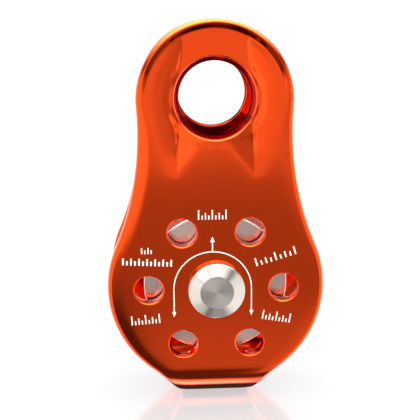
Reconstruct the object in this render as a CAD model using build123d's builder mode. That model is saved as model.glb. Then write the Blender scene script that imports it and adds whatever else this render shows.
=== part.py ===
"""Rope pulley: one folded aluminium body, a grooved sheave on two ball bearings, and a riveted steel axle.

All sizes are in millimetres. The origin is the centre of the sheave, on the axle and midway between
the two side plates. +Y runs along the axle to the back, +X to the right and +Z up to the eye.
"""

from build123d import *
from math import cos, radians, sin, sqrt
import os

os.makedirs("parts", exist_ok=True)

# ---- Driving dimensions -------------------------------------------------------------------------

# Rope and sheave
ROPE_R = 6.5            # the largest rope the groove takes
GROOVE_R = ROPE_R + 0.25
TREAD_R = 12.5          # radius of the sheave at the bottom of its groove
FLANGE_R = 19.65
SHEAVE_W = 15.6
FLANGE_EDGE_R = 0.45
WEB_RECESS = 0.5
WEB_RECESS_R = (9.2, 13.4)

# Folded body: two side plates joined by a half-round fold at the bottom
SHEET = 3.5
GAP = 18.0              # clear width between the side plates
BELLY_R = 29.35         # around the axle
ARCH_R = 20.5           # around the eye
WAIST_R = 80.0          # hollow curve between belly and arch
NECK_R = 19.1           # hollow curve between belly and fold, in the flat sheet
NECK_HALF_W = 10.3      # narrowest half width, at the middle of the fold
FOLD_START_Z = -21.6    # the side plates are flat above this height
ARCH_Z = 50.6
EYE_Z = 51.1             # the eye sits a little above the arch centre
EYE_R = 9.45
HOLE_R = 3.85
HOLE_CIRCLE_R = 18.2
HOLE_COUNT = 6

# Pressing around the eye: a channel as wide as the eye, with a sloping flank on each side
PRESS_DEPTH = 1.6
PRESS_HALF_W = 10.2
PRESS_BOTTOM_Z = 31.0   # the channel fades out at this height
PRESS_FLOOR_Z = 40.4    # the channel has its full depth above this height
PRESS_FULL_Z = 65.0     # the flanks meet the channel floor at this height
FLANK_SLOPE = 0.122     # depth lost for each millimetre away from the channel
RIM_W = 2.0             # unpressed rim around the arch

# Rounded edges of the sheet
OUTER_EDGE_R = 1.35
INNER_EDGE_R = 0.7
EYE_OUTER_EDGE_R = 1.3
EYE_INNER_EDGE_R = 0.6
HOLE_OUTER_EDGE_R = 0.45
HOLE_INNER_EDGE_R = 0.3

# Axle
PIN_R = 3.98
PIN_HOLE_R = 4.0
HEAD_R = 7.6
HEAD_FOOT_R = 6.4       # where the head touches the side plate
HEAD_FACE_R = 4.5       # flat end face of the head
HEAD_H = 3.3
HEAD_EDGE = (1.2, 2.0)  # the head is widest between these heights
TENON_R = 3.0           # reduced end of the axle, inside the collar
PEEN_R = 4.3            # spread end of the axle, in the collar's countersink
PEEN_H = 1.3
COLLAR_H = 2.7
COLLAR_FACE_R = 5.6
DOME_H = 0.6

# Ball bearings, 8 x 16 x 5
RING_W = 5.0
BEARING_BORE_R = 4.0
BEARING_OUTER_R = 8.0
BALL_R = 1.0
BALL_COUNT = 11
RACE_CLEARANCE = 0.03
POCKET_CLEARANCE = 0.04
SHOULDER = 0.65         # from the ball centres to each ring's shoulder
SHIELD_T = 0.25
SHIELD_INSET = 0.1
SHIELD_SEAT = 0.45      # how far a shield reaches into the outer ring
SHIELD_GAP = 0.1        # between a shield and the inner ring
CAGE_HALF_T = 0.5
CAGE_BACK = 1.5         # from the ball centres to the closed side of the cage
CAGE_LIP = 0.45         # from the ball centres to the open side of the cage
RING_EDGE = 0.2
RIB_T = 0.9             # height of the rib between the two bearing seats
SLIP = 0.02             # radial clearance of pieces that slide onto the axle
WASHER_R = 5.3
SPACER_R = 5.2

# ---- Worked-out dimensions ----------------------------------------------------------------------

HALF_GAP = GAP / 2
FACE_Y = HALF_GAP + SHEET                       # outer face of each side plate
FOLD_MID_R = HALF_GAP + SHEET / 2
PITCH_R = (BEARING_BORE_R + BEARING_OUTER_R) / 2
BEARING_Y = SHEAVE_W / 2 - RING_W / 2           # centre of each bearing
SEAT_Y = SHEAVE_W / 2 - RING_W                  # inner end of each bearing seat
RIB_R = BEARING_OUTER_R - RIB_T
INNER_SHOULDER_R = PITCH_R - SHOULDER
OUTER_SHOULDER_R = PITCH_R + SHOULDER
SHIELD_R = OUTER_SHOULDER_R + SHIELD_SEAT
RACE_R = BALL_R + RACE_CLEARANCE

# Waist: a hollow arc that touches the belly circle and the arch circle
waist_z = ((BELLY_R + WAIST_R) ** 2 - (ARCH_R + WAIST_R) ** 2 + ARCH_Z**2) / (2 * ARCH_Z)
waist_x = sqrt((BELLY_R + WAIST_R) ** 2 - waist_z**2)
belly_reach = BELLY_R / (BELLY_R + WAIST_R)
arch_reach = ARCH_R / (ARCH_R + WAIST_R)
waist_foot = (waist_x * belly_reach, waist_z * belly_reach)
waist_top = (waist_x * arch_reach, ARCH_Z + (waist_z - ARCH_Z) * arch_reach)

# Neck: a hollow arc in the flat sheet that touches the belly circle
neck_x = NECK_HALF_W + NECK_R
neck_z = -sqrt((BELLY_R + NECK_R) ** 2 - neck_x**2)
neck_touch_z = neck_z * BELLY_R / (BELLY_R + NECK_R)


def neck_half_width(angle):
    """Half width of the sheet at an angle around the fold, measured in degrees from the bottom."""
    along = radians(90 - abs(angle)) * FOLD_MID_R
    flat_z = FOLD_START_Z - along
    if flat_z > neck_touch_z:
        return sqrt(BELLY_R**2 - flat_z**2)
    return neck_x - sqrt(NECK_R**2 - (flat_z - neck_z) ** 2)


def border_edges(faces):
    """The edges around a run of smoothly joined faces, without the seams between them."""
    edges = [edge for face in faces for edge in face.edges()]
    return [edge for edge in edges if edges.count(edge) == 1]


def round_edges(part, r, inside):
    """Full circles of radius r about axes along Y, on the inner or the outer faces of the side plates."""
    circles = part.edges().filter_by(GeomType.CIRCLE)
    rims = [edge for edge in circles if abs(edge.radius - r) < 0.01 and edge.is_closed]
    return [edge for edge in rims if (abs(edge.arc_center.Y) < HALF_GAP + SLIP) == inside]


# ---- Pressing tool: the metal taken from the front of one side plate ----------------------------

floor_y = PRESS_DEPTH - FACE_Y
flank_rise = PRESS_DEPTH / (PRESS_FULL_Z - PRESS_BOTTOM_Z)
flank_top_z = ARCH_Z + ARCH_R
flank_top_depth = flank_rise * (flank_top_z - PRESS_BOTTOM_Z)

# a flank that grows shallower away from the channel and down towards the channel's foot
with BuildPart() as right_flank:
    with BuildSketch(Plane.XY.offset(flank_top_z)) as flank_top:
        with BuildLine():
            Polyline(
                (PRESS_HALF_W, -FACE_Y),
                (PRESS_HALF_W + flank_top_depth / FLANK_SLOPE, -FACE_Y),
                (PRESS_HALF_W, flank_top_depth - FACE_Y),
                close=True,
            )
        make_face()
    loft([flank_top.sketch.face(), Vertex(PRESS_HALF_W, -FACE_Y, PRESS_BOTTOM_Z)], ruled=True)

with BuildPart() as press_tool:
    # channel with a sloping lower end
    with BuildSketch(Plane.YZ):
        with BuildLine():
            Polyline(
                (-FACE_Y, PRESS_BOTTOM_Z),
                (floor_y, PRESS_FLOOR_Z),
                (floor_y, flank_top_z),
                (-FACE_Y, flank_top_z),
                close=True,
            )
        make_face()
    extrude(amount=PRESS_HALF_W, both=True)
    add(right_flank.part)
    add(right_flank.part.mirror(Plane.YZ))

    # the rim of the arch stays unpressed
    with BuildSketch(Plane.XZ.offset(FACE_Y)):
        with Locations((0, ARCH_Z)):
            Circle(ARCH_R - RIM_W)
        with Locations((0, (ARCH_Z + PRESS_BOTTOM_Z) / 2)):
            Rectangle(2 * (ARCH_R - RIM_W), ARCH_Z - PRESS_BOTTOM_Z)
    extrude(amount=-PRESS_DEPTH, mode=Mode.INTERSECT)


# ---- Folded body --------------------------------------------------------------------------------

FRONT = -1
BACK = 1
# angles of the neck's sections around the fold, closer at its ends so the neck leaves the belly smoothly
NECK_ANGLES = (-90, -87, -72, -54, -36, -18, 0, 18, 36, 54, 72, 87, 90)
CLEAR = 5.0             # how far cutting shapes run past the sheet

top_z = ARCH_Z + ARCH_R + CLEAR

with BuildPart() as side_plates:
    # a deep U: two flat walls and a half-round fold
    with BuildSketch(Plane.YZ):
        with BuildLine():
            Line((-FACE_Y, top_z), (-FACE_Y, FOLD_START_Z))
            ThreePointArc(
                (-FACE_Y, FOLD_START_Z),
                (0, FOLD_START_Z - FACE_Y),
                (FACE_Y, FOLD_START_Z),
            )
            Polyline(
                (FACE_Y, FOLD_START_Z),
                (FACE_Y, top_z),
                (HALF_GAP, top_z),
                (HALF_GAP, FOLD_START_Z),
            )
            ThreePointArc(
                (HALF_GAP, FOLD_START_Z),
                (0, FOLD_START_Z - HALF_GAP),
                (-HALF_GAP, FOLD_START_Z),
            )
            Polyline((-HALF_GAP, FOLD_START_Z), (-HALF_GAP, top_z), (-FACE_Y, top_z))
        make_face()
    extrude(amount=BELLY_R + CLEAR, both=True)

    # the outline of both side plates: belly, waists and arch
    with BuildSketch(Plane.XZ):
        for side in (-1, 1):
            with BuildLine():
                Line((0, FOLD_START_Z - FACE_Y - CLEAR), (0, ARCH_Z + ARCH_R))
                ThreePointArc(
                    (0, ARCH_Z + ARCH_R),
                    (side * ARCH_R * cos(radians(45)), ARCH_Z + ARCH_R * sin(radians(45))),
                    (side * waist_top[0], waist_top[1]),
                )
                RadiusArc(
                    (side * waist_top[0], waist_top[1]),
                    (side * waist_foot[0], waist_foot[1]),
                    -side * WAIST_R,
                )
                ThreePointArc(
                    (side * waist_foot[0], waist_foot[1]),
                    (side * BELLY_R, 0),
                    (side * neck_half_width(90), FOLD_START_Z),
                )
                Polyline(
                    (side * neck_half_width(90), FOLD_START_Z),
                    (side * BELLY_R, FOLD_START_Z),
                    (side * BELLY_R, FOLD_START_Z - FACE_Y - CLEAR),
                    (0, FOLD_START_Z - FACE_Y - CLEAR),
                )
            make_face()
    extrude(amount=FACE_Y + CLEAR, both=True, mode=Mode.INTERSECT)

    # the hollow sides of the neck, carried around the fold square to the sheet
    for side in (-1, 1):
        for angle in NECK_ANGLES:
            fold_plane = Plane(
                origin=(0, 0, FOLD_START_Z),
                x_dir=(1, 0, 0),
                z_dir=(0, cos(radians(angle)), sin(radians(angle))),
            )
            half_w = neck_half_width(angle)
            with BuildSketch(fold_plane):
                with BuildLine():
                    Polyline(
                        (side * half_w, HALF_GAP - 1),
                        (side * (BELLY_R + 1), HALF_GAP - 1),
                        (side * (BELLY_R + 1), FACE_Y + 1),
                        (side * half_w, FACE_Y + 1),
                        close=True,
                    )
                make_face()
        loft(mode=Mode.SUBTRACT)

    # rounded edges along the outline, outside and inside
    plates = side_plates.faces().filter_by(GeomType.PLANE).sort_by(Axis.Y)
    folds = side_plates.faces().filter_by(GeomType.CYLINDER).sort_by(Axis.Z)
    fillet(border_edges([plates[0], plates[-1], folds[0]]), OUTER_EDGE_R)
    plates = side_plates.faces().filter_by(GeomType.PLANE).sort_by(Axis.Y)
    folds = side_plates.faces().filter_by(GeomType.CYLINDER).sort_by(Axis.Z)
    fillet(border_edges([plates[1], plates[-2], folds[1]]), INNER_EDGE_R)

    # pressed channel and flanks: cut outside and standing out by the same amount inside
    for side in (FRONT, BACK):
        add(press_tool.part.mirror(Plane.XZ) if side == BACK else press_tool.part, mode=Mode.SUBTRACT)
        boss = press_tool.part.translate((0, SHEET, 0))
        add(boss.mirror(Plane.XZ) if side == BACK else boss)

    # eye, axle hole and lightening holes, through both side plates
    with Locations(Plane.XZ):
        with Locations((0, EYE_Z)):
            Hole(EYE_R)
        Hole(PIN_HOLE_R)
        with PolarLocations(HOLE_CIRCLE_R, HOLE_COUNT):
            Hole(HOLE_R)
    fillet(round_edges(side_plates, EYE_R, inside=False), EYE_OUTER_EDGE_R)
    fillet(round_edges(side_plates, EYE_R, inside=True), EYE_INNER_EDGE_R)
    fillet(round_edges(side_plates, HOLE_R, inside=False), HOLE_OUTER_EDGE_R)
    fillet(round_edges(side_plates, HOLE_R, inside=True), HOLE_INNER_EDGE_R)

side_plates.part.label = "side_plates"
export_step(side_plates.part, "parts/side_plates.step")


# ---- Axle ---------------------------------------------------------------------------------------

# Each turned piece is half a section, with the radius along X and the axle along Y.

with BuildPart() as axle_pin:
    with BuildSketch(Plane.XY):
        with BuildLine():
            peen_y = FACE_Y + COLLAR_H
            Polyline(
                (0, peen_y + DOME_H),
                (0, -FACE_Y - HEAD_H),
                (HEAD_FACE_R, -FACE_Y - HEAD_H),
                (HEAD_R, -FACE_Y - HEAD_EDGE[1]),
                (HEAD_R, -FACE_Y - HEAD_EDGE[0]),
                (HEAD_FOOT_R, -FACE_Y),
                (PIN_R, -FACE_Y),
                (PIN_R, FACE_Y),
                (TENON_R, FACE_Y),
                (TENON_R, peen_y - PEEN_H),
                (PEEN_R, peen_y),
            )
            TangentArc((0, peen_y + DOME_H), (PEEN_R, peen_y), tangent=(1, 0), tangent_from_first=True)
        make_face()
    revolve(axis=Axis.Y)
axle_pin.part.label = "axle_pin"
export_step(axle_pin.part, "parts/axle_pin.step")

with BuildPart() as rear_rivet_collar:
    with BuildSketch(Plane.XY):
        with BuildLine():
            Polyline(
                (TENON_R + SLIP, FACE_Y),
                (HEAD_FOOT_R, FACE_Y),
                (HEAD_R, FACE_Y + HEAD_EDGE[0]),
                (HEAD_R, FACE_Y + HEAD_EDGE[1]),
                (COLLAR_FACE_R, FACE_Y + COLLAR_H),
                (PEEN_R + SLIP, FACE_Y + COLLAR_H),
                (TENON_R + SLIP, FACE_Y + COLLAR_H - PEEN_H),
                close=True,
            )
        make_face()
    revolve(axis=Axis.Y)
rear_rivet_collar.part.label = "rear_rivet_collar"
export_step(rear_rivet_collar.part, "parts/rear_rivet_collar.step")


def sleeve_section(inner_r, outer_r, low_y, high_y):
    """Half the section of a plain ring about the Y axis."""
    with Locations(((inner_r + outer_r) / 2, (low_y + high_y) / 2)):
        Rectangle(outer_r - inner_r, high_y - low_y)


with BuildPart() as inner_ring_spacer:
    with BuildSketch(Plane.XY) as section:
        sleeve_section(BEARING_BORE_R, SPACER_R, -SEAT_Y, SEAT_Y)
        chamfer(section.vertices(), RING_EDGE)
    revolve(axis=Axis.Y)
inner_ring_spacer.part.label = "inner_ring_spacer"
export_step(inner_ring_spacer.part, "parts/inner_ring_spacer.step")


# ---- Sheave -------------------------------------------------------------------------------------

with BuildPart() as sheave:
    with BuildSketch(Plane.XY) as section:
        sleeve_section(RIB_R, FLANGE_R, -SHEAVE_W / 2, SHEAVE_W / 2)
        with Locations((TREAD_R + GROOVE_R, 0)):
            Circle(GROOVE_R, mode=Mode.SUBTRACT)
        fillet(section.vertices().group_by(Axis.X)[-1], FLANGE_EDGE_R)
        for side in (FRONT, BACK):
            with Locations(((RIB_R + BEARING_OUTER_R) / 2, side * BEARING_Y)):
                Rectangle(RIB_T, RING_W, mode=Mode.SUBTRACT)
            with Locations((sum(WEB_RECESS_R) / 2, side * SHEAVE_W / 2)):
                Rectangle(WEB_RECESS_R[1] - WEB_RECESS_R[0], 2 * WEB_RECESS, mode=Mode.SUBTRACT)
    revolve(axis=Axis.Y)
sheave.part.label = "sheave"
export_step(sheave.part, "parts/sheave.step")


# ---- Washers and ball bearings, one of each at the front and at the rear -------------------------

for place, side in (("front", FRONT), ("rear", BACK)):
    bearing_y = side * BEARING_Y
    ball_plane = Plane.XZ.offset(-bearing_y)
    ends = (bearing_y - RING_W / 2, bearing_y + RING_W / 2)

    with BuildPart() as thrust_washer:
        with BuildSketch(Plane.XY) as section:
            washer_ends = sorted((side * SHEAVE_W / 2, side * HALF_GAP))
            sleeve_section(BEARING_BORE_R, WASHER_R, *washer_ends)
            chamfer(section.vertices().group_by(Axis.X)[-1], RING_EDGE)
        revolve(axis=Axis.Y)
    thrust_washer.part.label = f"{place}_thrust_washer"
    export_step(thrust_washer.part, f"parts/{place}_thrust_washer.step")

    with BuildPart() as inner_ring:
        with BuildSketch(Plane.XY) as section:
            sleeve_section(BEARING_BORE_R, INNER_SHOULDER_R, *ends)
            chamfer(section.vertices().group_by(Axis.X)[0], RING_EDGE)
            with Locations((PITCH_R, bearing_y)):
                Circle(RACE_R, mode=Mode.SUBTRACT)
        revolve(axis=Axis.Y)
    inner_ring.part.label = f"{place}_bearing_inner_ring"
    export_step(inner_ring.part, f"parts/{place}_bearing_inner_ring.step")

    with BuildPart() as outer_ring:
        with BuildSketch(Plane.XY) as section:
            sleeve_section(OUTER_SHOULDER_R, BEARING_OUTER_R, *ends)
            chamfer(section.vertices().group_by(Axis.X)[-1], RING_EDGE)
            with Locations((PITCH_R, bearing_y)):
                Circle(RACE_R, mode=Mode.SUBTRACT)
            with Locations([(OUTER_SHOULDER_R, end) for end in ends]):
                Rectangle(2 * SHIELD_SEAT, 2 * (SHIELD_INSET + SHIELD_T), mode=Mode.SUBTRACT)
        revolve(axis=Axis.Y)
    outer_ring.part.label = f"{place}_bearing_outer_ring"
    export_step(outer_ring.part, f"parts/{place}_bearing_outer_ring.step")

    for where, facing in (("outer", side), ("inner", -side)):
        shield_y = bearing_y + facing * (RING_W / 2 - SHIELD_INSET - SHIELD_T / 2)
        with BuildPart() as shield:
            with BuildSketch(Plane.XY):
                shield_ends = (shield_y - SHIELD_T / 2, shield_y + SHIELD_T / 2)
                sleeve_section(INNER_SHOULDER_R + SHIELD_GAP, SHIELD_R, *shield_ends)
            revolve(axis=Axis.Y)
        shield.part.label = f"{place}_bearing_{where}_shield"
        export_step(shield.part, f"parts/{place}_bearing_{where}_shield.step")

    with BuildPart() as cage:
        with BuildSketch(Plane.XY):
            cage_ends = sorted((bearing_y + side * CAGE_BACK, bearing_y - side * CAGE_LIP))
            sleeve_section(PITCH_R - CAGE_HALF_T, PITCH_R + CAGE_HALF_T, *cage_ends)
        revolve(axis=Axis.Y)
        with Locations(ball_plane):
            with PolarLocations(PITCH_R, BALL_COUNT):
                Sphere(BALL_R + POCKET_CLEARANCE, mode=Mode.SUBTRACT)
    cage.part.label = f"{place}_bearing_cage"
    export_step(cage.part, f"parts/{place}_bearing_cage.step")

    with BuildPart() as balls:
        with Locations(ball_plane):
            with PolarLocations(PITCH_R, BALL_COUNT):
                Sphere(BALL_R)
    balls.part.label = f"{place}_bearing_balls"
    export_step(balls.part, f"parts/{place}_bearing_balls.step")
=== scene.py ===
"""Looks of the rope pulley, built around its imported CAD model.

The folded body, the axle, its collar and the sheave get finer meshes than the CAD's; the bearings and
washers keep theirs. Sizes below are in millimetres in the CAD's own frame: the origin is the centre of
the sheave, +Y runs along the axle to the back and +Z up to the eye.
"""

import math

import bpy
import numpy as np
from mathutils import Matrix, Vector
from mathutils.geometry import delaunay_2d_cdt


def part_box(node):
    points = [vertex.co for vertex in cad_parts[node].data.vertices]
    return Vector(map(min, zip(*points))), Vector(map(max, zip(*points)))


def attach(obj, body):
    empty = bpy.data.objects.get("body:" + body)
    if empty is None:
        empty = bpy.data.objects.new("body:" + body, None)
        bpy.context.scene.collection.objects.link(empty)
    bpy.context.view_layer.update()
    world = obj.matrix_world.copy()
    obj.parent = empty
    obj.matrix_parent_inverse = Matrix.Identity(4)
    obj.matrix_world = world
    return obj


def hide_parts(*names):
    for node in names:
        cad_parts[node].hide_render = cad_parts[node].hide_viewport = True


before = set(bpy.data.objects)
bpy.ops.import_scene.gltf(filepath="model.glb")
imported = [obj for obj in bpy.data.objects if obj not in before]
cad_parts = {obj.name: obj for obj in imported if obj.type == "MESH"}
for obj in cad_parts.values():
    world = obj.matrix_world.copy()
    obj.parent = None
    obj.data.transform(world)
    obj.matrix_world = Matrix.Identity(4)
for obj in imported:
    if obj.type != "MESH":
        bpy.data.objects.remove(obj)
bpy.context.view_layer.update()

MM = 0.001

# ---- Sizes read from the frame -------------------------------------------------------------------

plates_low, plates_high = (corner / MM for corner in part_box("side_plates"))
pin_low, pin_high = (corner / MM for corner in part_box("axle_pin"))
collar_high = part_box("rear_rivet_collar")[1] / MM
sheave_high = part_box("sheave")[1] / MM

FACE_Y = 12.5                            # outer face of each side plate
BELLY_R = plates_high.x
TOP_Z = plates_high.z
BOTTOM_Z = plates_low.z
HEAD_R = pin_high.x
HEAD_END_Y = pin_low.y
TAIL_END_Y = pin_high.y
FLANGE_R = sheave_high.x
SHEAVE_HALF_W = sheave_high.y

# ---- Sizes of the folded body --------------------------------------------------------------------

SHEET = 3.5
FOLD_MID_R = FACE_Y - SHEET / 2
FOLD_START_Z = BOTTOM_Z + FACE_Y
FOLD_HALF_LENGTH = math.pi / 2 * FOLD_MID_R
MIDDLE_Z = FOLD_START_Z - FOLD_HALF_LENGTH      # middle of the fold, in the flat sheet
ARCH_R = 20.5
ARCH_Z = TOP_Z - ARCH_R
WAIST_R = 80.0
NECK_R = 19.1
NECK_HALF_W = 10.3
EYE_R = 9.45
EYE_Z = ARCH_Z + 0.5
HOLE_R = 3.85
HOLE_CIRCLE_R = 18.2
HOLE_COUNT = 6
PIN_HOLE_R = 4.0

EDGE_OUT = 1.35         # roundings of the sheet's outer and inner edge
EDGE_IN = 0.7
EYE_FLARE = 1.25        # the eye widens by this much from the inner to the outer face
EYE_WALL_BEND = 1.3     # 1 gives the eye a straight wall, more a hollow one
EYE_EDGE = 0.35
EYE_INNER_EDGE = 0.6
HOLE_EDGE = 0.45
PIN_HOLE_EDGE = 0.2
INNER_EDGE_SHARE = 0.6  # a hole's rounding on the inner face, as a share of the outer one
ROLL_H = 0.28           # the outer face falls away by this much towards its edge
ROLL_W = 4.5

# How fine the mesh is: spacings of points along the outline and over the face, points around a hole,
# steps around an edge, and the rings of the flat face beside the edges, by distance from the rounding
OUTLINE_STEP = 0.6
GRID_STEP = 1.0
PRESS_GRID_STEP = 0.36
EYE_POINTS = 236
HOLE_POINTS = 64
PIN_HOLE_POINTS = 48
ARC_STEPS = 8
BORDER = (0.12, 0.3, 0.5, 0.7, 0.8, 0.9, 1.0, 1.12, 1.3, 1.6, 2.0, 2.5)
HOLE_BORDER = (0.12, 0.3, 0.55)
EYE_BORDER = (0.1, 0.22, 0.36, 0.55, 0.8, 1.1, 1.4, 1.75, 2.1, 2.5)

# The pressing around the eye. Pairs of (x, z) are on its right half, and _SOFT rounds a fold's corner.
PRESS_DEPTH = 1.6
PRESS_SOFT = 0.15
PRESS_START = (29.5, 32.5)      # it begins between these heights
PRESS_HALF_W = 19.0
CREASE_X = 10.1         # creases beside the channel: upright beside the eye, leaning inwards above it
CREASE_LEAN_Z = 54.0
CREASE_LEAN = 0.15
CREASE_W = 0.38         # half width over which a crease turns
FAN_FOOT = (9.5, 32.0)  # where the diagonal fold below the eye meets the crease
FAN_HEAD = (3.0, 39.5)
FAN_SLOPE = 0.09        # the facet beside the diagonal fold grows steeper towards the crease
FAN_CURVE = 0.012
FAN_SOFT = 0.8
FLANK_TOP = (8.5, 68.0) # where a flank reaches the channel's depth
FLANK_FOOT = (29.0, 39.0)       # a flank fades out between these heights
FLANK_RISE = 0.030
FLANK_SLOPE = 0.105
FLANK_SOFT = 0.12
RIM_INNER = 1.1         # the rim of the arch slopes down between these insets
RIM_OUTER = 2.25
RIM_SOFT = 0.12
EYE_RING_R = EYE_R + EYE_FLARE + EYE_EDGE
EYE_RING_EVEN = 9.0     # degrees over which the pressing's depth around the eye is evened out
EYE_RING_BLEND = (0.2, 2.2)     # the pressing has its own shape again beyond these distances

# Painted shade: where the colour is painted darker than on the open face, which has 1
STEP_SHADE_LEVEL = 0.14        # painted shade in the step of the rim
CORNER_SHADE_LEVEL = 0.4       # painted shade in the corners between the eye and the creases
CORNER_SHADE_CENTRE = (9.6, 43.0)    # (x, z)
CORNER_SHADE_SIZE = (1.2, 2.4)
STEP_SHADE_ENDS = 0.12        # share of the step over which its painted shade fades at either side
STEP_SHADE_MIN_PRESS = (0.10, 0.45)   # the step gets its painted shade where the pressing is at least this deep
# Painted shade on the eye's wall, darkest at its bottom
WALL_SHADE_LEVEL = 0.20        # on the eye's wall; it grows from nothing between these two heights, counted
WALL_SHADE_RISE = (-0.92, -0.45)         # from the eye's centre in eye radii
INNER_FACE_SHADE_LEVEL = 0.8        # painted shade on the sheet's inner face, between the plates


# ---- Small helpers -------------------------------------------------------------------------------

def smooth(low, high, value):
    """0 below low, 1 above high, and a smooth step between them."""
    t = np.clip((value - low) / (high - low), 0, 1)
    return t * t * (3 - 2 * t)


def soft_positive(value, width):
    """max(value, 0) with its corner rounded over width."""
    return 0.5 * (value + np.sqrt(value * value + width * width))


def make_piece(name, points_mm, faces, body, material, replaces=None, painted_light=None):
    """A smooth mesh in the CAD's frame that rides on a CAD body. Its optional per-point value paints shade:
    1 for full colour, 0 for dark.
    """
    mesh = bpy.data.meshes.new(name)
    mesh.from_pydata([tuple(p) for p in np.asarray(points_mm) * MM], [], faces)
    if painted_light is not None:
        mesh.attributes.new("painted_light", "FLOAT", "POINT").data.foreach_set("value", painted_light)
    mesh.validate()
    mesh.shade_smooth()
    mesh.materials.append(material)
    piece = bpy.data.objects.new(name, mesh)
    bpy.context.scene.collection.objects.link(piece)
    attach(piece, body)
    if replaces:
        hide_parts(replaces)
    return piece


# ---- Materials -----------------------------------------------------------------------------------

class Nodes:
    """Builds the node tree of a material or a world with one call for each node."""

    def __init__(self, owner, output="ShaderNodeOutputMaterial"):
        owner.use_nodes = True
        self.tree = owner.node_tree
        self.tree.nodes.clear()
        self.out = self.add(output)

    def add(self, kind, settings=None, **inputs):
        node = self.tree.nodes.new(kind)
        for key, value in (settings or {}).items():
            setattr(node, key, value)
        for key, value in inputs.items():
            self.set(node, key.replace("_", " "), value)
        return node

    def set(self, node, key, value):
        socket = node.inputs[int(key)] if key.isdigit() else node.inputs[key]
        if isinstance(value, bpy.types.NodeSocket):
            self.tree.links.new(value, socket)
        else:
            socket.default_value = value

    def noise(self, scale, detail=3.0, vector=None):
        node = self.add("ShaderNodeTexNoise", Scale=scale, Detail=detail, Roughness=0.5)
        self.set(node, "Vector", vector or self.position())
        return node.outputs["Fac"]

    def position(self):
        """The point's place in the piece's own space, in metres."""
        return self.add("ShaderNodeTexCoord").outputs["Object"]

    def math(self, operation, a, b=0.0):
        node = self.add("ShaderNodeMath", {"operation": operation})
        self.set(node, "0", a)
        self.set(node, "1", b)
        return node.outputs[0]

    def remap(self, value, low, high, to_low, to_high):
        node = self.add("ShaderNodeMapRange", From_Min=low, From_Max=high, To_Min=to_low, To_Max=to_high)
        self.set(node, "Value", value)
        return node.outputs["Result"]

    def mix_colour(self, share, a, b):
        node = self.add("ShaderNodeMix", {"data_type": "RGBA"})
        self.set(node, "0", share)
        self.set(node, "6", a)
        self.set(node, "7", b)
        return node.outputs[2]

    def bump(self, height, distance, strength=1.0, normal=None):
        node = self.add("ShaderNodeBump", Strength=strength, Distance=distance, Height=height)
        if normal:
            self.set(node, "Normal", normal)
        return node.outputs["Normal"]

    def radius(self):
        """Distance from the axle, in metres."""
        parts = self.add("ShaderNodeSeparateXYZ", Vector=self.position())
        flat = self.add("ShaderNodeCombineXYZ", X=parts.outputs["X"], Y=parts.outputs["Z"], Z=0.0)
        length = self.add("ShaderNodeVectorMath", {"operation": "LENGTH"})
        self.set(length, "0", flat.outputs[0])
        return length.outputs["Value"]

    def soft_step(self, value, edge, softness):
        """0 below the edge and 1 above it."""
        node = self.add("ShaderNodeMapRange", {"interpolation_type": "SMOOTHSTEP"})
        self.set(node, "Value", value)
        self.set(node, "From Min", edge - softness)
        self.set(node, "From Max", edge + softness)
        return node.outputs["Result"]

    def between(self, value, low, high, softness):
        """1 between two edges and 0 outside them."""
        above_low, above_high = (self.soft_step(value, edge, softness) for edge in (low, high))
        return self.math("SUBTRACT", above_low, above_high)

    def mix_shaders(self, share, a, b):
        node = self.add("ShaderNodeMixShader")
        self.set(node, "0", share)
        self.set(node, "1", a.outputs[0])
        self.set(node, "2", b.outputs[0])
        return node

    def show(self, shader):
        """Makes a shader node the result."""
        self.tree.links.new(shader.outputs[0], self.out.inputs["Surface"])

    def surface(self, **inputs):
        self.show(self.add("ShaderNodeBsdfPrincipled", **inputs))


def anodised():
    """Clear orange anodising over polished sheet: even colour apart from painted shade from the mesh's
    attribute, faint waviness, a fine grain.
    """
    n = Nodes(material := bpy.data.materials.new("anodised_orange"))
    cloud = n.noise(60.0, 2.0)
    grain = n.noise(5200.0, 2.0)
    waves = n.noise(90.0, 1.0)
    colour = n.mix_colour(cloud, (0.83, 0.058, 0.0008, 1), (0.88, 0.066, 0.0012, 1))
    # Painted shade: where the mesh's attribute falls towards 0, the colour turns near black, the reflection
    # tint dark red and the coat fades
    painted_light = n.add("ShaderNodeAttribute", {"attribute_name": "painted_light"}).outputs["Fac"]
    colour = n.mix_colour(painted_light, (0.03, 0.0008, 0.0001, 1), colour)
    roughness = n.remap(n.noise(420.0, 4.0), 0.3, 0.7, 0.08, 0.12)
    normal = n.bump(waves, 0.00010, 0.25)
    normal = n.bump(grain, 0.0000035, 0.6, normal)
    n.surface(
        Base_Color=colour,
        Metallic=1.0,
        Roughness=roughness,
        Normal=normal,
        Specular_Tint=n.mix_colour(painted_light, (0.30, 0.03, 0.01, 1), (1, 1, 1, 1)),
        Coat_Weight=n.math("MULTIPLY", painted_light, 0.35),
        Coat_Roughness=0.05,
        Coat_IOR=1.4,
    )
    return material


def turned(name, colour, ring_pitch, ring_depth, roughness, anisotropic):
    """Metal cut on a lathe: fine rings around the axle and a fan-shaped shine. Pitch and depth are in mm."""
    n = Nodes(material := bpy.data.materials.new(name))
    radius = n.radius()
    rings = n.math("SINE", n.math("MULTIPLY", radius, 2 * math.pi / (ring_pitch * MM)))
    parts = n.add("ShaderNodeSeparateXYZ", Vector=n.position())
    across = n.add("ShaderNodeCombineXYZ", X=radius, Y=parts.outputs["Y"], Z=0.0)
    uneven = n.noise(9000.0, 2.0, vector=across.outputs[0])
    height = n.math("ADD", rings, n.math("MULTIPLY", uneven, 1.5))
    tangent = n.add("ShaderNodeTangent", {"direction_type": "RADIAL", "axis": "Y"})
    tint = n.mix_colour(n.noise(300.0), tuple(c * 0.93 for c in colour) + (1,), tuple(colour) + (1,))
    n.surface(
        Base_Color=tint,
        Metallic=1.0,
        Roughness=n.remap(uneven, 0.3, 0.7, roughness * 0.85, roughness * 1.2),
        Anisotropic=anisotropic,
        Anisotropic_Rotation=0.25,
        Tangent=tangent.outputs[0],
        Normal=n.bump(height, ring_depth * MM, 1.0),
    )
    return material


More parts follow.
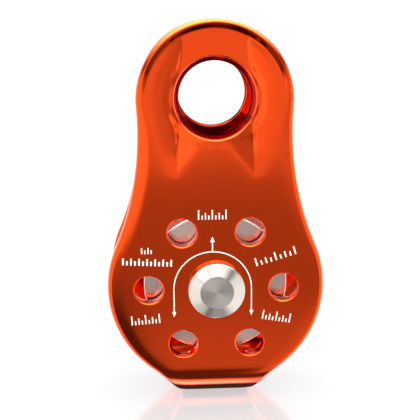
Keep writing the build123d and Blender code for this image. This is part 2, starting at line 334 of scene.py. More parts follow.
def ground_steel(name, colour, roughness):
    """Smooth ground metal with a trace of grain."""
    n = Nodes(material := bpy.data.materials.new(name))
    grain = n.noise(4000.0, 3.0)
    n.surface(
        Base_Color=n.mix_colour(n.noise(500.0), tuple(c * 0.9 for c in colour) + (1,), tuple(colour) + (1,)),
        Metallic=1.0,
        Roughness=n.remap(grain, 0.3, 0.7, roughness * 0.8, roughness * 1.3),
        Normal=n.bump(grain, 0.000003, 0.7),
    )
    return material


def nylon():
    """Natural nylon, slightly see-through, with a fine moulded grain."""
    n = Nodes(material := bpy.data.materials.new("nylon"))
    grain = n.noise(3000.0, 3.0)
    n.surface(
        Base_Color=n.mix_colour(grain, (0.70, 0.66, 0.55, 1), (0.80, 0.77, 0.68, 1)),
        Roughness=n.remap(grain, 0.3, 0.7, 0.38, 0.5),
        Subsurface_Weight=0.2,
        Subsurface_Radius=(0.0006, 0.0005, 0.0004),
        Normal=n.bump(grain, 0.00001, 0.5),
    )
    return material


def white_mark():
    """Thin white print with a slightly rough, uneven surface, and a faint painted glow that keeps it bright.
    """
    n = Nodes(material := bpy.data.materials.new("white_print"))
    grain = n.noise(6000.0, 3.0)
    n.surface(
        Base_Color=n.mix_colour(grain, (0.62, 0.50, 0.43, 1), (0.76, 0.63, 0.55, 1)),
        Roughness=0.55,
        # Painted glow: the print gives off a little light of its own
        Emission_Color=(1.0, 0.93, 0.88, 1),
        Emission_Strength=0.12,
        Normal=n.bump(grain, 0.000004, 0.5),
    )
    return material


ORANGE = anodised()
STAINLESS = turned("turned_stainless", (0.66, 0.60, 0.55), 0.30, 0.0012, 0.22, 0.85)
SILVER = turned("turned_aluminium", (0.64, 0.54, 0.48), 0.22, 0.0012, 0.26, 0.5)
BEARING_STEEL = ground_steel("bearing_steel", (0.56, 0.56, 0.58), 0.12)
SHIELD_STEEL = ground_steel("shield_steel", (0.50, 0.50, 0.50), 0.32)
BRONZE = ground_steel("bronze", (0.62, 0.42, 0.20), 0.34)
NYLON = nylon()
WHITE = white_mark()


# ---- The flat sheet: outline, holes and pressing -------------------------------------------------

waist_z = ((BELLY_R + WAIST_R) ** 2 - (ARCH_R + WAIST_R) ** 2 + ARCH_Z**2) / (2 * ARCH_Z)
waist_x = math.sqrt((BELLY_R + WAIST_R) ** 2 - waist_z**2)
neck_x = NECK_HALF_W + NECK_R
neck_z = -math.sqrt((BELLY_R + NECK_R) ** 2 - neck_x**2)


def arc_points(centre, radius, start, end, outward):
    """Points and outward normals along an arc, without its end point. outward is 1 for a bulge."""
    count = max(2, round(abs(end - start) * radius / OUTLINE_STEP))
    angles = start + (end - start) * np.arange(count) / count
    normals = np.stack([np.cos(angles), np.sin(angles)], 1)
    return np.array(centre) + radius * normals, outward * normals


def right_outline():
    """The right edge of the front half of the sheet, from the middle of the fold up to the top."""
    belly_low = math.atan2(neck_z, neck_x)
    belly_high = math.atan2(waist_z, waist_x)
    arch_low = math.atan2(waist_z - ARCH_Z, waist_x)
    arcs = [
        arc_points((neck_x, neck_z), NECK_R, math.pi, math.pi + belly_low, -1),
        arc_points((0, 0), BELLY_R, belly_low, belly_high, 1),
        arc_points((waist_x, waist_z), WAIST_R, math.pi + belly_high, math.pi + arch_low, -1),
        arc_points((0, ARCH_Z), ARCH_R, arch_low, math.pi / 2, 1),
    ]
    points = np.concatenate([p for p, _ in arcs] + [np.array([[0, TOP_Z]])])
    normals = np.concatenate([n for _, n in arcs] + [np.array([[0, 1.0]])])
    return points, normals


def full_outline():
    """The whole sheet's edge as a closed loop of (x, length along the sheet from the fold's middle)."""
    points, normals = right_outline()
    points = points - np.array([0, neck_z])
    quarters_p, quarters_n = [], []
    for x_sign, s_sign in ((1, 1), (-1, 1), (-1, -1), (1, -1)):
        flip = np.array([x_sign, s_sign])
        p, m = points * flip, normals * flip
        if x_sign * s_sign < 0:
            p, m = p[::-1], m[::-1]
        quarters_p.append(p[:-1])
        quarters_n.append(m[:-1])
    return np.concatenate(quarters_p), np.concatenate(quarters_n)


OUTLINE, OUTLINE_NORMALS = full_outline()


def inset_from_outline(points):
    """How far each point of the flat sheet lies inside its edge."""
    batch = 2000
    result = np.empty(len(points))
    for start in range(0, len(points), batch):
        part = points[start : start + batch]
        offsets = part[:, None, :] - OUTLINE[None, :, :]
        nearest = np.argmin((offsets**2).sum(2), 1)
        rows = np.arange(len(part))
        result[start : start + batch] = -(offsets[rows, nearest] * OUTLINE_NORMALS[nearest]).sum(1)
    return result


def plate_height(s):
    """Height on a side plate of a place along the sheet, whichever plate it is on."""
    return np.abs(s) + MIDDLE_Z


def pressed_shape(points):
    """Depth of the pressing around the eye, before the rim of the arch and the eye's own edge."""
    x = np.abs(points[:, 0])
    z = plate_height(points[:, 1])
    along = np.array(FAN_FOOT) - np.array(FAN_HEAD)
    across = np.array([-along[1], along[0]]) / np.hypot(*along)
    reach = soft_positive((x - FAN_FOOT[0]) * across[0] + (z - FAN_FOOT[1]) * across[1], FAN_SOFT)
    fan = FAN_SLOPE * reach + FAN_CURVE * reach**2
    channel = PRESS_DEPTH - soft_positive(PRESS_DEPTH - fan, PRESS_SOFT)
    crease = CREASE_X - CREASE_LEAN * np.maximum(z - CREASE_LEAN_Z, 0)
    flank = PRESS_DEPTH + FLANK_RISE * (z - FLANK_TOP[1]) - FLANK_SLOPE * (x - FLANK_TOP[0])
    flank = soft_positive(flank, FLANK_SOFT) * smooth(*FLANK_FOOT, z)
    beyond = smooth(-CREASE_W, CREASE_W, x - crease)
    return (channel * (1 - beyond) + flank * beyond) * smooth(*PRESS_START, z)


def eye_ring_depth():
    """Depth of the pressing at each degree of the eye's edge, evened out to keep that edge a clean curve."""
    angles = 2 * math.pi * np.arange(360) / 360
    ring = EYE_RING_R * np.stack([np.cos(angles), np.sin(angles)], 1) + np.array([0, EYE_Z - MIDDLE_Z])
    depth = pressed_shape(ring)
    reach = 30
    spread = np.exp(-0.5 * (np.arange(-reach, reach + 1) / EYE_RING_EVEN) ** 2)
    wrapped = np.concatenate([depth[-reach:], depth, depth[:reach]])
    return np.convolve(wrapped, spread / spread.sum(), "valid")


EYE_RING_DEPTH = eye_ring_depth()


def rim_share(points):
    """0 on the rim of the arch, 1 inside it."""
    slope = (inset_from_outline(points) - RIM_INNER) / (RIM_OUTER - RIM_INNER)
    return soft_positive(slope, RIM_SOFT) - soft_positive(slope - 1, RIM_SOFT)


def press_depth(points):
    """How far the sheet is pressed inwards around the eye."""
    x, z = points[:, 0], plate_height(points[:, 1]) - EYE_Z
    angle = np.degrees(np.arctan2(z, x)) % 360
    at_ring = np.interp(angle, np.arange(361), np.append(EYE_RING_DEPTH, EYE_RING_DEPTH[0]))
    beside = 1 - smooth(*EYE_RING_BLEND, np.hypot(x, z) - EYE_RING_R)
    depth = pressed_shape(points) * (1 - beside) + at_ring * beside
    return depth * rim_share(points)


def face_painted_light(points):
    """Painted light of the outer face: painted shade in the step of the rim and in the corners beside the
    eye's foot.
    """
    share = rim_share(points)
    # Painted shade in the step of the rim, where the pressing is deep
    step = smooth(0.0, STEP_SHADE_ENDS, share) * (1 - smooth(1 - STEP_SHADE_ENDS, 1.0, share))
    step = step * smooth(*STEP_SHADE_MIN_PRESS, pressed_shape(points))
    x, z = np.abs(points[:, 0]), plate_height(points[:, 1])
    # A painted shadow in each corner between the eye and the creases
    corner = np.exp(-(((x - CORNER_SHADE_CENTRE[0]) / CORNER_SHADE_SIZE[0]) ** 2) - ((z - CORNER_SHADE_CENTRE[1]) / CORNER_SHADE_SIZE[1]) ** 2)
    return 1 - (1 - STEP_SHADE_LEVEL) * step - (1 - CORNER_SHADE_LEVEL) * corner * (1 - step)


def wall_painted_light(points):
    """Painted shade on the eye's wall, darkest at its bottom."""
    return WALL_SHADE_LEVEL * smooth(*WALL_SHADE_RISE, (plate_height(points[:, 1]) - EYE_Z) / EYE_R)


def rolled(offset, inset):
    """An offset from the sheet's middle, lowered near the edge on the outer side."""
    roll = ROLL_H * np.clip(1 - inset / ROLL_W, 0, 1) ** 2
    return offset - roll * (offset + SHEET / 2) / SHEET


def fold_up(points, offset, depth):
    """Bends points of the flat sheet into the folded body. offset is from the middle of the sheet."""
    x, s = points[:, 0], points[:, 1]
    radius = FOLD_MID_R + offset - depth
    angle = np.clip(s / FOLD_MID_R, -math.pi / 2, math.pi / 2)
    beyond = np.maximum(np.abs(s) - FOLD_HALF_LENGTH, 0)
    return np.stack([x, -radius * np.sin(angle), FOLD_START_Z - radius * np.cos(angle) + beyond], 1)


def edge_profile(outer_edge, inner_edge, border):
    """(inset, offset) steps from the outer face around the edge to the inner face."""
    half = SHEET / 2
    steps = [(outer_edge + b, half) for b in reversed(border)]
    for k in range(ARC_STEPS + 1):
        a = math.pi / 2 * k / ARC_STEPS
        steps.append((outer_edge * (1 - math.sin(a)), half - outer_edge * (1 - math.cos(a))))
    for k in range(ARC_STEPS // 2 + 1):
        a = math.pi / 2 * k / (ARC_STEPS // 2)
        steps.append((inner_edge * (1 - math.cos(a)), -half + inner_edge * (1 - math.sin(a))))
    last = outer_edge + border[-1]
    steps += [(inner_edge + b * (last - inner_edge) / border[-1], -half) for b in border]
    return steps


def eye_profile():
    """(inset, offset) steps around the eye's edge: a small rounding, then a wall that narrows inwards."""
    half = SHEET / 2
    wall_h = SHEET - EYE_EDGE - EYE_INNER_EDGE
    steps = [(EYE_FLARE + EYE_EDGE + b, half) for b in reversed(EYE_BORDER)]
    for k in range(ARC_STEPS + 1):
        a = math.pi / 2 * k / ARC_STEPS
        steps.append((EYE_FLARE + EYE_EDGE * (1 - math.sin(a)), half - EYE_EDGE * (1 - math.cos(a))))
    for k in range(1, ARC_STEPS + 1):
        share = k / ARC_STEPS
        steps.append((EYE_FLARE * (1 - share) ** EYE_WALL_BEND, half - EYE_EDGE - share * wall_h))
    for k in range(1, ARC_STEPS // 2 + 1):
        a = math.pi / 2 * k / (ARC_STEPS // 2)
        steps.append((EYE_INNER_EDGE * (1 - math.cos(a)), -half + EYE_INNER_EDGE * (1 - math.sin(a))))
    stretch = (steps[0][0] - EYE_INNER_EDGE) / EYE_BORDER[-1]
    return steps + [(EYE_INNER_EDGE + b * stretch, -half) for b in EYE_BORDER]


EYE_PROFILE = eye_profile()


def round_hole(centre, radius, count):
    """A hole's loop, with the metal on its left, and its normals, which point towards the hole's centre."""
    angles = -2 * math.pi * np.arange(count) / count
    rays = np.stack([np.cos(angles), np.sin(angles)], 1)
    return np.array(centre) + radius * rays, -rays


def sheet_holes():
    """Every hole of the flat sheet as (loop, normals, edge profile, centre, clear radius)."""
    pin_profile = edge_profile(PIN_HOLE_EDGE, PIN_HOLE_EDGE * INNER_EDGE_SHARE, HOLE_BORDER)
    hole_profile = edge_profile(HOLE_EDGE, HOLE_EDGE * INNER_EDGE_SHARE, HOLE_BORDER)
    on_plate = [
        (0, EYE_Z, EYE_R, EYE_PROFILE, EYE_POINTS),
        (0, 0, PIN_HOLE_R, pin_profile, PIN_HOLE_POINTS),
    ]
    for k in range(HOLE_COUNT):
        a = 2 * math.pi * k / HOLE_COUNT
        x, z = HOLE_CIRCLE_R * math.cos(a), HOLE_CIRCLE_R * math.sin(a)
        on_plate.append((x, z, HOLE_R, hole_profile, HOLE_POINTS))
    holes = []
    for sign in (1, -1):
        for x, z, radius, profile, count in on_plate:
            centre = np.array((x, sign * (z - MIDDLE_Z)))
            loop, normals = round_hole(centre, radius, count)
            holes.append((loop, normals, profile, centre, radius + profile[0][0]))
    return holes


def inner_points(border_inset, holes):
    """A grid of points over the sheet, finer where it is pressed, clear of the edges and holes."""
    length = TOP_Z - MIDDLE_Z
    rows = []
    row_share = 0.866       # rows this much closer together than points give nearly equal triangles
    for step, fine in ((GRID_STEP, False), (PRESS_GRID_STEP, True)):
        xs = np.arange(-BELLY_R, BELLY_R, step)
        ss = np.arange(-length, length, step * row_share)
        grid = np.array([(x + (step / 2 if k % 2 else 0), s) for k, s in enumerate(ss) for x in xs])
        z = plate_height(grid[:, 1])
        pressed = (z > PRESS_START[0]) & (np.abs(grid[:, 0]) < PRESS_HALF_W)
        grid = grid[pressed == fine]
        keep = inset_from_outline(grid) > border_inset + step * 0.5
        for _, _, _, centre, reach in holes:
            keep &= np.hypot(*(grid - centre).T) > reach + step * 0.5
        rows.append(grid[keep])
    return np.concatenate(rows)


def flat_face(loops, holes):
    """The flat sheet between its edges as triangles: (points, triangles, each loop's point numbers)."""
    flat, constraints, loop_ids = [], [], []
    for loop, normals, profile in loops:
        ring = loop - normals * profile[0][0]
        ids = list(range(len(flat), len(flat) + len(ring)))
        flat.extend(map(tuple, ring))
        constraints += [(ids[k], ids[(k + 1) % len(ids)]) for k in range(len(ids))]
        loop_ids.append(ids)
    flat.extend(map(tuple, inner_points(EDGE_OUT + BORDER[-1], holes)))

    verts, _, triangles, origins, _, _ = delaunay_2d_cdt([Vector(p) for p in flat], constraints, [], 1, 1e-6)
    new_id = {old: new for new, olds in enumerate(origins) for old in olds}
    points = np.array([tuple(v) for v in verts])
    middles = points[np.array(triangles)].mean(1)
    keep = inset_from_outline(middles) > 0
    for loop, _, _, centre, reach in holes:
        keep &= np.hypot(*(middles - centre).T) > reach * math.cos(math.pi / len(loop))
    triangles = [tuple(t) for t, k in zip(triangles, keep) if k]
    return points, triangles, [[new_id[i] for i in ids] for ids in loop_ids]


def edge_ring(loop, normals, profile, inset, offset):
    """One ring of points around an edge of the sheet, and their painted light and shade."""
    half = SHEET / 2
    ring = loop - normals * inset
    if loop is OUTLINE:
        points = fold_up(ring, rolled(offset, inset), press_depth(ring))
    else:
        edge = max(i for i, o in profile if -half < o < half)
        points = fold_up(ring, offset, press_depth(loop - normals * max(inset, edge)))
    beside_inner_face = 0.1
    # The inner face, between the plates, is painted in shade
    if offset <= -half + beside_inner_face:
        return points, np.full(len(ring), INNER_FACE_SHADE_LEVEL)
    if loop is OUTLINE and offset > 0:
        return points, face_painted_light(ring)
    # The eye's wall is painted in shade
    if profile is EYE_PROFILE and offset < half - EYE_EDGE:
        return points, wall_painted_light(ring)
    return points, np.ones(len(ring))


def build_folded_body():
    """The whole folded sheet as one closed mesh: (points, faces, painted light and shade)."""
    holes = sheet_holes()
    loops = [(OUTLINE, OUTLINE_NORMALS, edge_profile(EDGE_OUT, EDGE_IN, BORDER))]
    loops += [hole[:3] for hole in holes]
    flat, triangles, loop_ids = flat_face(loops, holes)

    depth = press_depth(flat)
    half = SHEET / 2
    count = len(flat)
    points = [fold_up(flat, rolled(half, inset_from_outline(flat)), depth), fold_up(flat, -half, depth)]
    # The outer face gets its painted shade; the inner face is painted in shade all over
    painted_light_parts = [face_painted_light(flat), np.full(count, INNER_FACE_SHADE_LEVEL)]
    faces = triangles + [(a + count, c + count, b + count) for a, b, c in triangles]
    total = 2 * count
    for (loop, normals, profile), outer_ids in zip(loops, loop_ids):
        size = len(outer_ids)
        rings = [outer_ids]
        for inset, offset in profile[1:-1]:
            ring_points, ring_painted_light = edge_ring(loop, normals, profile, inset, offset)
            points.append(ring_points)
            painted_light_parts.append(ring_painted_light)
            rings.append(list(range(total, total + size)))
            total += size
        rings.append([i + count for i in outer_ids])
        for above, below in zip(rings, rings[1:]):
            for j in range(size):
                i = (j + 1) % size
                faces.append((above[j], below[j], below[i], above[i]))
    return np.concatenate(points), faces, np.concatenate(painted_light_parts)


# The folded body carries its painted shade as a per-point value
points, faces, painted_light = build_folded_body()
make_piece("folded_body", points, faces, "frame", ORANGE, "side_plates", painted_light)


# ---- Turned pieces -------------------------------------------------------------------------------

def round_corners(points, radii, steps=4):
    """A section's corners replaced by arcs, with extra points beside each arc to keep flats flat."""
    result = []
    count = len(points)
    for k, (point, radius) in enumerate(zip(points, radii)):
        p = np.array(point, float)
        before = np.array(points[k - 1], float) - p
        after = np.array(points[(k + 1) % count], float) - p
        if radius <= 0:
            result.append(p)
            continue
        u, v = before / np.hypot(*before), after / np.hypot(*after)
        half_angle = math.acos(float(np.clip(u @ v, -1, 1))) / 2
        reach = min(radius / math.tan(half_angle), 0.48 * np.hypot(*before), 0.48 * np.hypot(*after))
        start, end = p + u * reach, p + v * reach
        result.append(start + u * min(reach * 0.4, 0.1 * np.hypot(*before)))
        for j in range(steps + 1):
            t = j / steps
            result.append((1 - t) ** 2 * start + 2 * t * (1 - t) * p + t**2 * end)
        result.append(end + v * min(reach * 0.4, 0.1 * np.hypot(*after)))
    return np.array(result)


def lathe(name, section, body, material, segments, replaces, closed=True):
    """Turns a section of (radius, y) points around the axle. An open one starts and ends on the axis."""
    section = np.asarray(section, float)
    angles = 2 * math.pi * np.arange(segments) / segments
    points, rings = [], []
    for radius, y in section:
        if radius < 1e-6:
            rings.append([len(points)])
            points.append((0, y, 0))
        else:
            rings.append(list(range(len(points), len(points) + segments)))
            points.extend((radius * math.cos(a), y, radius * math.sin(a)) for a in angles)
    faces = []
    pairs = list(zip(rings, rings[1:] + rings[:1])) if closed else list(zip(rings, rings[1:]))
    for a, b in pairs:
        for j in range(segments):
            i = (j + 1) % segments
            corners = [a[j % len(a)], b[j % len(b)], b[i % len(b)], a[i % len(a)]]
            unique = list(dict.fromkeys(corners))
            if len(unique) > 2:
                faces.append(tuple(unique))
    return make_piece(name, points, faces, body, material, replaces)


HEAD_FACE_R = 4.5
HEAD_FOOT_R = 6.4
HEAD_EDGE = (1.2, 2.0)  # the head is widest between these heights above the plate
PIN_R = 3.98
TENON_R = 3.0           # the pin's thinner rear end, in the collar
PEEN_R = 4.3            # that end spread into the collar's countersink
PEEN_H = 1.3
COLLAR_H = collar_high.y - FACE_Y
COLLAR_FACE_R = 5.6
SLIP = 0.02             # gap between the pin and its collar


def rivet_section():
    """Half the rivet's section, from its front end round to its rear end."""
    corners = [
        (0, HEAD_END_Y, 0),
        (HEAD_FACE_R, HEAD_END_Y, 0.12),
        (HEAD_R, -FACE_Y - HEAD_EDGE[1], 0.2),
        (HEAD_R, -FACE_Y - HEAD_EDGE[0], 0.15),
        (HEAD_FOOT_R, -FACE_Y, 0.05),
        (PIN_R, -FACE_Y, 0.05),
        (PIN_R, FACE_Y, 0.05),
        (TENON_R, FACE_Y, 0.05),
        (TENON_R, FACE_Y + COLLAR_H - PEEN_H, 0.05),
        (PEEN_R, FACE_Y + COLLAR_H, 0.06),
    ]
    section = list(round_corners([c[:2] for c in corners], [c[2] for c in corners]))
    dome_h = TAIL_END_Y - FACE_Y - COLLAR_H
    dome_steps = 8
    for k in range(1, dome_steps):
        a = math.pi / 2 * k / dome_steps
        section.append((PEEN_R * math.cos(a), FACE_Y + COLLAR_H + dome_h * math.sin(a)))
    return section + [(0.0, TAIL_END_Y)]


def densify(section, step):
    """The same section with extra points, so that long flats have many rings."""
    result = []
    for a, b in zip(section, section[1:]):
        a, b = np.array(a, float), np.array(b, float)
        pieces = max(1, int(np.hypot(*(b - a)) / step))
        result += [a + (b - a) * k / pieces for k in range(pieces)]
    return result + [np.array(section[-1], float)]


def collar_section():
    """The section of the collar around the rivet's rear end."""
    corners = [
        (TENON_R + SLIP, FACE_Y, 0.05),
        (HEAD_FOOT_R, FACE_Y, 0.05),
        (HEAD_R, FACE_Y + HEAD_EDGE[0], 0.15),
        (HEAD_R, FACE_Y + HEAD_EDGE[1], 0.2),
        (COLLAR_FACE_R, FACE_Y + COLLAR_H, 0.12),
        (PEEN_R + SLIP, FACE_Y + COLLAR_H, 0.05),
        (TENON_R + SLIP, FACE_Y + COLLAR_H - PEEN_H, 0.05),
    ]
    return round_corners([c[:2] for c in corners], [c[2] for c in corners])


RIVET_SEGMENTS = 192
rivet = densify(rivet_section(), 0.5)
lathe("rivet", rivet, "frame", STAINLESS, RIVET_SEGMENTS, "axle_pin", closed=False)
lathe("rivet_collar", collar_section(), "frame", STAINLESS, RIVET_SEGMENTS, "rear_rivet_collar")

GROOVE_R = 6.75
TREAD_R = 12.5
BEARING_SEAT_R = 8.0
RIB_R = 7.1             # the rib between the two bearing seats
SEAT_Y = SHEAVE_HALF_W - 5.0
WEB_RECESS = 0.5
WEB_RECESS_R = (9.2, 13.4)
SHEAVE_SEGMENTS = 224


def sheave_section():
    """The sheave's whole section: grooved rim, recessed web, bearing seats and the rib between them."""
    flange_angle = math.asin((FLANGE_R - TREAD_R - GROOVE_R) / GROOVE_R)
    lip_y = GROOVE_R * math.cos(flange_angle)
    front = [
        (RIB_R, -SEAT_Y, 0.08),
        (BEARING_SEAT_R, -SEAT_Y, 0.03),
        (BEARING_SEAT_R, -SHEAVE_HALF_W, 0.15),
        (WEB_RECESS_R[0], -SHEAVE_HALF_W, 0.12),
        (WEB_RECESS_R[0], -SHEAVE_HALF_W + WEB_RECESS, 0.15),
        (WEB_RECESS_R[1], -SHEAVE_HALF_W + WEB_RECESS, 0.15),
        (WEB_RECESS_R[1], -SHEAVE_HALF_W, 0.12),
        (FLANGE_R, -SHEAVE_HALF_W, 0.42),
        (FLANGE_R, -lip_y, 0.42),
    ]
    groove_steps = 28
    groove = []
    for k in range(1, groove_steps):
        a = math.pi * k / groove_steps
        r = TREAD_R + GROOVE_R - GROOVE_R * math.sin(a)
        groove.append((r, -GROOVE_R * math.cos(a), 0))
    back = [(r, -y, radius) for r, y, radius in reversed(front)]
    corners = front + groove + back
    return round_corners([c[:2] for c in corners], [c[2] for c in corners])


lathe("grooved_sheave", sheave_section(), "sheave", SILVER, SHEAVE_SEGMENTS, "sheave")


# ---- Bearings and washers keep the CAD's own meshes ------------------------------------------------

def finish_of(node):
    """The material of a CAD node that is shown as it is."""
    if "washer" in node:
        return BRONZE
    if "cage" in node:
        return NYLON
    if "shield" in node:
        return SHIELD_STEEL
    if "spacer" in node:
        return STAINLESS
    return BEARING_STEEL


for node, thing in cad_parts.items():
    thing.data.materials.clear()
    thing.data.materials.append(finish_of(node))


# ---- White marks on the front side plate -----------------------------------------------------------

MARK_X = -1.0           # the print sits a little left of the middle
MARK_Y = -FACE_Y - 0.02
MARK_T = 0.03
LINE_W = 0.30


def flat_mark(name, outline):
    """A thin plate of print on the front face, from a closed outline of (x, z) points."""
    count = len(outline)
    points = [(x + MARK_X, y, z) for y in (MARK_Y, MARK_Y + MARK_T) for x, z in outline]
    faces = [tuple(range(count)), tuple(range(2 * count - 1, count - 1, -1))]
    faces += [(k, k + count, (k + 1) % count + count, (k + 1) % count) for k in range(count)]
    piece = make_piece(name, points, faces, "frame", WHITE)
    piece.data.shade_flat()
    return piece


def arc_band(name, radius, start, end, width):
    """A curved line."""
    angles = np.linspace(math.radians(start), math.radians(end), 49)
    outer_r, inner_r = radius + width / 2, radius - width / 2
    outer = [(outer_r * math.cos(a), outer_r * math.sin(a)) for a in angles]
    inner = [(inner_r * math.cos(a), inner_r * math.sin(a)) for a in reversed(angles)]
    return flat_mark(name, outer + inner)


def arrow(name, foot, tip, width, head_length, head_width):
    """A straight line with an arrow head."""
    foot, tip = np.array(foot, float), np.array(tip, float)
    along = (tip - foot) / np.hypot(*(tip - foot))
    across = np.array([-along[1], along[0]])
    neck = tip - along * head_length
    outline = [
        foot - across * width / 2,
        neck - across * width / 2,
        neck - across * head_width / 2,
        tip,
        neck + across * head_width / 2,
        neck + across * width / 2,
        foot + across * width / 2,
    ]
    return flat_mark(name, [tuple(p) for p in outline])


ARC_R = 10.5
ARROW_FOOT_Z = 0.2
ARROW_TIP_Z = -7.8
UP_ARROW_LENGTH = 4.2
arc_band("load_arc", ARC_R, 0, 180, LINE_W)
arrow("load_arrow_left", (-ARC_R, ARROW_FOOT_Z), (-ARC_R, ARROW_TIP_Z), LINE_W, 1.5, 1.1)
arrow("load_arrow_right", (ARC_R, ARROW_FOOT_Z), (ARC_R, ARROW_TIP_Z), LINE_W, 1.5, 1.1)
arrow("load_arrow_up", (0, ARC_R), (0, ARC_R + UP_ARROW_LENGTH), LINE_W, 1.5, 1.2)


def tick_row(name, centre, tilt, length, heights, width):
    """A row of upright bars standing on one line, in place of lettering."""
    turn = Matrix.Rotation(math.radians(tilt), 2)
    step = (length - width) / (len(heights) - 1)
    foot = -max(heights) / 2
    for k, height in enumerate(heights):
        left = -length / 2 + k * step
        corners = [(left, foot), (left + width, foot), (left + width, foot + height), (left, foot + height)]
        placed = [turn @ Vector(corner) + Vector(centre) for corner in corners]
        flat_mark(f"{name}_{k + 1}", [tuple(p) for p in placed])


LOAD_BARS = (2.6, 1.1, 1.8, 1.1) * 2 + (2.6,)
tick_row("mark_top", (0.0, 20.7), 0, 7.6, LOAD_BARS, 0.34)
tick_row("mark_left_small", (-17.6, 11.1), 0, 2.9, (1.7, 1.0, 1.7, 1.0), 0.34)
tick_row("mark_left", (-17.5, 7.9), -3, 13.3, (1.9, 1.2) * 6 + (1.9,), 0.45)
tick_row("mark_right", (16.9, 8.9), 17, 11.2, (2.3, 1.2, 1.7, 1.2) * 2 + (2.3,), 0.40)
tick_row("mark_low_left", (-18.3, -8.3), 4, 7.8, LOAD_BARS, 0.34)
tick_row("mark_low_right", (17.4, -8.3), -10, 7.8, LOAD_BARS, 0.34)


# ---- Floor, light and camera -----------------------------------------------------------------------

FLOOR_HALF_W = 1.2      # metres
FLOOR_GLOW = 0.66       # the floor lights itself a little, so that it stays pale around the pulley
FLOOR_SHINE = 0.13


def make_floor():
    """A pale table top with a faint reflection."""
    w = FLOOR_HALF_W
    z = BOTTOM_Z * MM
    mesh = bpy.data.meshes.new("floor")
    mesh.from_pydata([(-w, -w, z), (w, -w, z), (w, w, z), (-w, w, z)], [], [(0, 1, 2, 3)])
    n = Nodes(material := bpy.data.materials.new("pale_floor"))
    matt = n.add("ShaderNodeBsdfDiffuse", Color=(0.06, 0.06, 0.06, 1))
    glow = n.add("ShaderNodeEmission", Color=(1, 1, 1, 1), Strength=FLOOR_GLOW)
    shine = n.add("ShaderNodeBsdfGlossy", Color=(1, 1, 1, 1), Roughness=0.10)
    top = n.add("ShaderNodeAddShader")
    n.set(top, "0", matt.outputs[0])
    n.set(top, "1", glow.outputs[0])
    n.show(n.mix_shaders(FLOOR_SHINE, top, shine))
    mesh.materials.append(material)
    floor = bpy.data.objects.new("floor", mesh)
    bpy.context.scene.collection.objects.link(floor)
    floor.visible_glossy = False


make_floor()

# Brightness of the studio by height above the horizon, in degrees
STUDIO_BY_HEIGHT = (
    (-90, 5.5),
    (-84, 3.6),
    (-78, 1.0),
    (-73, 0.13),
    (-47, 0.12),
    (-41, 0.45),
    (-32, 0.62),
    (-23, 0.62),
    (-20, 0.42),
    (-13, 0.42),
    (-11.5, 0.52),
    (-9.5, 0.85),
    (-6, 1.0),
    (3, 1.0),
    (8, 0.22),
    (22, 0.20),
    (27, 0.7),
    (34, 2.5),
    (45, 7.0),
    (70, 11.0),
    (90, 12.0),
)

# Cards and soft boxes: (from azimuth, to azimuth, from height, to height, softness, brightness), in
# degrees. Azimuth 0 is straight in front of the pulley, and azimuths grow towards +X. Each card covers
# those before it.
STUDIO_PANELS = (
    (-24, -3, -50, -20, 3, 0.10),
    (-64, -27, -66, -42, 4, 1.1),
    (12, 40, -60, -27, 6, 0.9),
    (11, 34, -7, 8, 2, 0.6),
    (-80, -30, -44, 12, 5, 1.5),
    (34, 80, -60, -4, 6, 1.5),
    (36, 60, -3, 14, 3, 1.5),
    (-38, -20, 12, 28, 3, 4.0),
    (16, 29, 16, 30, 3, 1.2),
    (80, 150, -75, 18, 8, 2.6),
    (150, 210, -28, 18, 8, 1.5),
    (210, 278, -75, 18, 8, 2.6),
    (100, 260, 18, 40, 8, 1.4),
    (-34, -6, -13, 12, 2, 1.6),
    (150, 210, -80, -38, 6, 0.06),
)


AZIMUTH_START = -80.0   # azimuths run from here, once around
BACKDROP = 1.3          # brightness of the plain white that the camera sees


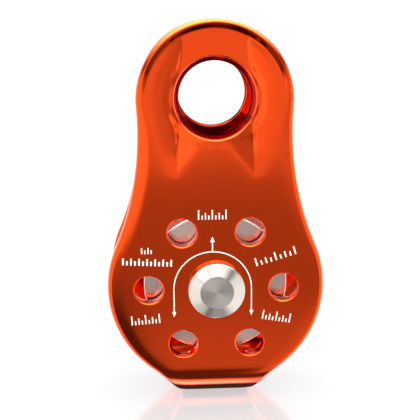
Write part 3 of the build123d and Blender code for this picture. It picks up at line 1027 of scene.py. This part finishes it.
def make_world():
    """A white studio seen by the camera, and painted light and dark areas seen by everything else."""
    world = bpy.data.worlds.new("studio")
    bpy.context.scene.world = world
    n = Nodes(world, "ShaderNodeOutputWorld")
    direction = n.add("ShaderNodeTexCoord").outputs["Generated"]
    parts = n.add("ShaderNodeSeparateXYZ", Vector=direction)
    to_degrees = 180 / math.pi
    height = n.math("MULTIPLY", n.math("ARCSINE", parts.outputs["Z"]), to_degrees)
    front = n.math("MULTIPLY", parts.outputs["Y"], -1.0)
    azimuth = n.math("MULTIPLY", n.math("ARCTAN2", parts.outputs["X"], front), to_degrees)
    around = n.math("WRAP", azimuth, AZIMUTH_START + 360)
    n.set(around.node, "2", AZIMUTH_START)

    ramp = n.add("ShaderNodeValToRGB", Fac=n.remap(height, -90.0, 90.0, 0.0, 1.0))
    elements = ramp.color_ramp.elements
    top = max(value for _, value in STUDIO_BY_HEIGHT)
    while len(elements) < len(STUDIO_BY_HEIGHT):
        elements.new(0.5)
    for element, (degrees, value) in zip(elements, STUDIO_BY_HEIGHT):
        element.position = (degrees + 90) / 180
        element.color = (value / top, value / top, value / top, 1)
    total = n.math("MULTIPLY", ramp.outputs["Color"], top)

    for left, right, low, high, softness, brightness in STUDIO_PANELS:
        across = n.between(around, left, right, softness)
        upward = n.between(height, low, high, softness)
        share = n.math("MULTIPLY", across, upward)
        change = n.math("MULTIPLY", share, n.math("SUBTRACT", brightness, total))
        total = n.math("ADD", total, change)

    camera_ray = n.add("ShaderNodeLightPath").outputs["Is Camera Ray"]
    studio = n.add("ShaderNodeBackground", Strength=1.0)
    n.set(studio, "Color", total)
    white = n.add("ShaderNodeBackground", Color=(1, 1, 1, 1), Strength=BACKDROP)
    n.show(n.mix_shaders(camera_ray, studio, white))


make_world()

CAMERA_SIDE = 2.95      # degrees to the left of straight on
CAMERA_RISE = 13.8      # degrees above level
CAMERA_ROLL = -0.4      # degrees
CAMERA_DISTANCE = 210.0
CAMERA_AIM = (-1.6, -FACE_Y, 22.0)
CAMERA_LENS = 68.3
CAMERA_SENSOR = 36


def place_camera():
    """A camera at the photo's angle."""
    side, rise = math.radians(CAMERA_SIDE), math.radians(CAMERA_RISE)
    forward = Vector((math.sin(side) * math.cos(rise), math.cos(side) * math.cos(rise), -math.sin(rise)))
    camera = bpy.data.objects.new("camera", bpy.data.cameras.new("camera"))
    camera.data.sensor_width = CAMERA_SENSOR
    camera.data.lens = CAMERA_LENS
    camera.data.clip_start = 0.005
    camera.location = (Vector(CAMERA_AIM) - forward * CAMERA_DISTANCE) * MM
    roll = Matrix.Rotation(math.radians(CAMERA_ROLL), 4, "Z")
    camera.rotation_euler = (forward.to_track_quat("-Z", "Y").to_matrix().to_4x4() @ roll).to_euler()
    bpy.context.scene.collection.objects.link(camera)
    bpy.context.scene.camera = camera


place_camera()
bpy.context.scene.view_settings.view_transform = "Standard"
